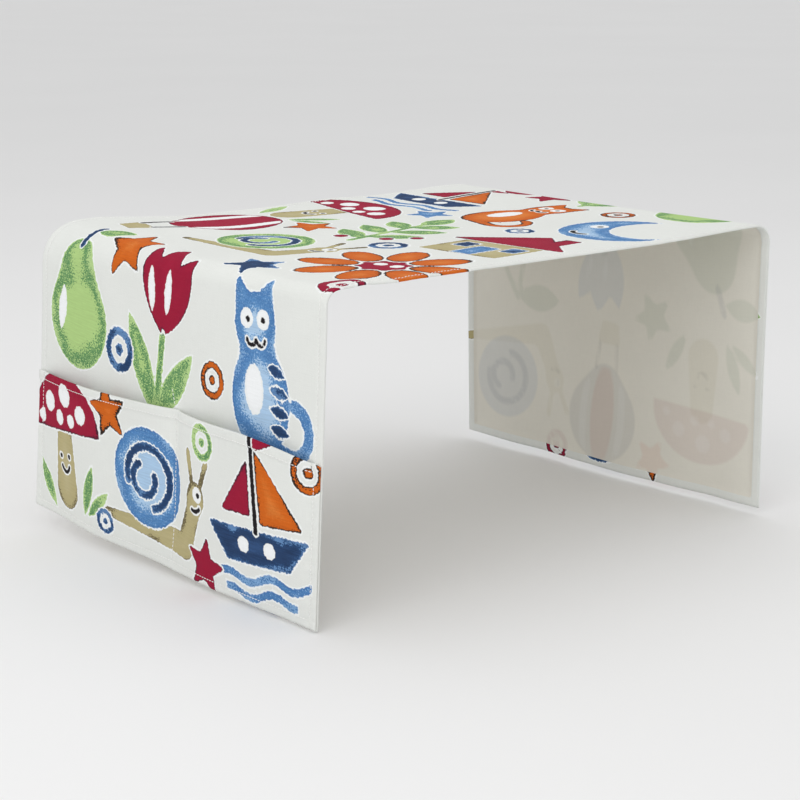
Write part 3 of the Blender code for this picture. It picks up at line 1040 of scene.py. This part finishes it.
class COVER_OT_make_cover_panel(bpy.types.Operator):
    """Makes the long panel with its hems, over the top and down both ends"""

    bl_idname = "cover.make_cover_panel"
    bl_label = "Make Cover Panel"

    def execute(self, context):
        sizes = context.scene.cover_sizes
        columns = hemmed_rows(sizes.width * 1000, GRID_STEP, True)
        flap = hemmed_rows(FLAP_LENGTH, GRID_STEP, False) / FLAP_LENGTH
        face = cover_face(flap, columns / (sizes.width * 1000), sizes.width)
        outward, up = normals(face), walked_up(face)
        across = np.broadcast_to(columns, up.shape)
        from_end = np.minimum(up, up[-1:] - up)
        from_side = np.minimum(across, columns[-1] - across)
        from_edge = np.minimum(from_end, from_side)
        relief = wrinkle_relief(up, across, COVER_WRINKLES) + seam_relief(from_side - STITCH_INSET, up)
        relief += seam_relief(from_end - STITCH_INSET, across)
        relief += edge_relief(from_edge)
        covered = smooth_step(up, *COVERED_UP) * smooth_step(from_side, 0, COVERED_SIDE)
        relief *= 1 - COVERED_SHARE * covered
        outer = face + outward * (relief / 1000)[..., None]
        layers = sizes.hem_layers * in_hem(from_edge)
        depth = sizes.thickness + layers - COVER_THINNING * np.exp(-from_edge / HEM_EDGE_REACH)
        inner = (outer - outward * depth[..., None])[::2, ::2]
        band = from_edge[::2, ::2] < HEM_WIDTH
        divider = (POCKET_HEIGHT + sizes.divider_start * 1000, POCKET_HEIGHT - 2)
        lines = sewn_lines(outer, up, columns, 0, divider)
        names = ("canvas_cover", "cover_stitching", "cover_panel")
        cover, thread = make_panel(names, outer, inner, up, across, band, COVER_PRINT, lines)
        return {"FINISHED"}


class COVER_OT_make_pocket_panel(bpy.types.Operator):
    """Makes the short panel of two pockets with its hems, on the outside of the left end"""

    bl_idname = "cover.make_pocket_panel"
    bl_label = "Make Pocket Panel"

    def execute(self, context):
        sizes = context.scene.cover_sizes
        columns = hemmed_rows(sizes.width * 1000, POCKET_STEP, True)
        rise = hemmed_rows(POCKET_HEIGHT, POCKET_STEP, True) / POCKET_HEIGHT
        face = pocket_face(rise, columns / (sizes.width * 1000), sizes.width)
        outward, up = normals(face), walked_up(face)
        across = np.broadcast_to(columns, up.shape)
        from_side = np.minimum(across, columns[-1] - across)
        from_top = up[-1:] - up
        from_edge = np.minimum(np.minimum(from_side, up), from_top)
        relief = wrinkle_relief(up, across, POCKET_WRINKLES) + seam_relief(from_side - STITCH_INSET, up)
        relief += seam_relief(up - STITCH_INSET, across)
        relief += seam_relief(from_top - STITCH_INSET, across)
        relief += seam_relief(across - divider_place(up, columns[-1]), up)
        relief = np.maximum(relief, DEEPEST_POCKET_RELIEF) + edge_relief(from_edge)
        layers = POCKET_LAYERS * sizes.hem_layers * in_hem(from_top)
        offset = POCKET_STAND_OFF + sizes.thickness + layers + relief / 1000
        outer = face + outward * offset[..., None]
        depth = sizes.thickness + layers - POCKET_THINNING * np.exp(-from_edge / HEM_EDGE_REACH)
        depth = np.minimum(depth, offset - POCKET_STAND_OFF)
        inner = (outer - outward * depth[..., None])[::2, ::2]
        band = (from_top < HEM_WIDTH)[::2, ::2]
        lines = sewn_lines(outer, up, columns, STITCH_INSET)
        names = ("canvas_pockets", "pocket_stitching", "pocket_panel")
        pockets, thread = make_panel(names, outer, inner, up, across, band, POCKET_PRINT, lines)
        return {"FINISHED"}


class COVER_OT_make_stage(bpy.types.Operator):
    """Makes the pale floor, the soft lights and the camera"""

    bl_idname = "cover.make_stage"
    bl_label = "Make Stage"

    def execute(self, context):
        scene = context.scene
        stage = scene.cover_stage
        level = float(CAD_BOX[0][2]) - stage.floor_gap
        mesh = bpy.data.meshes.new("floor")
        mesh.from_pydata([(x, y, level) for x, y in FLOOR_CORNERS], [], [(0, 1, 2, 3)])
        mesh.materials.append(pale_floor(scene.cover_colours))
        floor = bpy.data.objects.new("floor", mesh)
        scene.collection.objects.link(floor)

        world = bpy.data.worlds.new("soft room")
        world.use_nodes = True
        background = world.node_tree.nodes["Background"]
        background.inputs["Color"].default_value = (1.0, 1.0, 1.0, 1.0)
        background.inputs["Strength"].default_value = stage.room
        scene.world = world
        self.add_light("key", KEY_LIGHT, stage.key)
        self.add_light("overhead", OVERHEAD_LIGHT, stage.fill)
        self.add_camera(scene)
        scene.view_settings.view_transform = "Standard"
        scene.view_settings.look = "None"
        return {"FINISHED"}

    def add_light(self, name, places, power):
        """A square area light that looks from its place at a point."""
        place, aim = places
        data = bpy.data.lights.new(name, "AREA")
        data.size = LIGHT_SIDE
        data.energy = power
        light = bpy.data.objects.new(name, data)
        bpy.context.scene.collection.objects.link(light)
        light.location = place
        light.rotation_euler = (Vector(place) - Vector(aim)).to_track_quat("Z", "Y").to_euler()

    def add_camera(self, scene):
        """A camera turned by yaw, then pitch, then roll, as in the photograph."""
        data = bpy.data.cameras.new("camera")
        data.sensor_width = 36.0
        data.lens = CAMERA_LENS
        data.clip_end = 60.0
        camera = bpy.data.objects.new("camera", data)
        scene.collection.objects.link(camera)
        turned = Matrix.Rotation(math.radians(-CAMERA_YAW), 4, "Z")
        turned = turned @ Matrix.Rotation(math.radians(90 - CAMERA_PITCH), 4, "X")
        turned = turned @ Matrix.Rotation(math.radians(CAMERA_ROLL), 4, "Z")
        camera.matrix_world = Matrix.Translation(CAMERA_PLACE) @ turned
        scene.camera = camera


class COVER_PT_sidebar(bpy.types.Panel):
    """Lists the sizes, the colours and the pieces"""

    bl_idname = "COVER_PT_sidebar"
    bl_label = "Printed Appliance Cover"
    bl_space_type = "VIEW_3D"
    bl_region_type = "UI"
    bl_category = "Cover"

    def draw(self, context):
        layout = self.layout
        for group in (context.scene.cover_sizes, context.scene.cover_colours, context.scene.cover_stage):
            box = layout.box()
            for name in group.__annotations__:
                box.prop(group, name)
        for operator in STEPS:
            layout.operator(operator.bl_idname)


GROUPS = {"cover_sizes": CoverSizes, "cover_colours": CoverColours, "cover_stage": CoverStage}
STEPS = (COVER_OT_make_cover_panel, COVER_OT_make_pocket_panel, COVER_OT_make_stage)


def register():
    for name, group in GROUPS.items():
        bpy.utils.register_class(group)
        setattr(bpy.types.Scene, name, bpy.props.PointerProperty(type=group))
    for made in (*STEPS, COVER_PT_sidebar):
        bpy.utils.register_class(made)


def unregister():
    for made in (COVER_PT_sidebar, *reversed(STEPS)):
        bpy.utils.unregister_class(made)
    for name, group in GROUPS.items():
        delattr(bpy.types.Scene, name)
        bpy.utils.unregister_class(group)


def main():
    register()
    bpy.ops.cover.make_cover_panel()
    bpy.ops.cover.make_pocket_panel()
    bpy.ops.cover.make_stage()


if __name__ == "__main__":
    main()
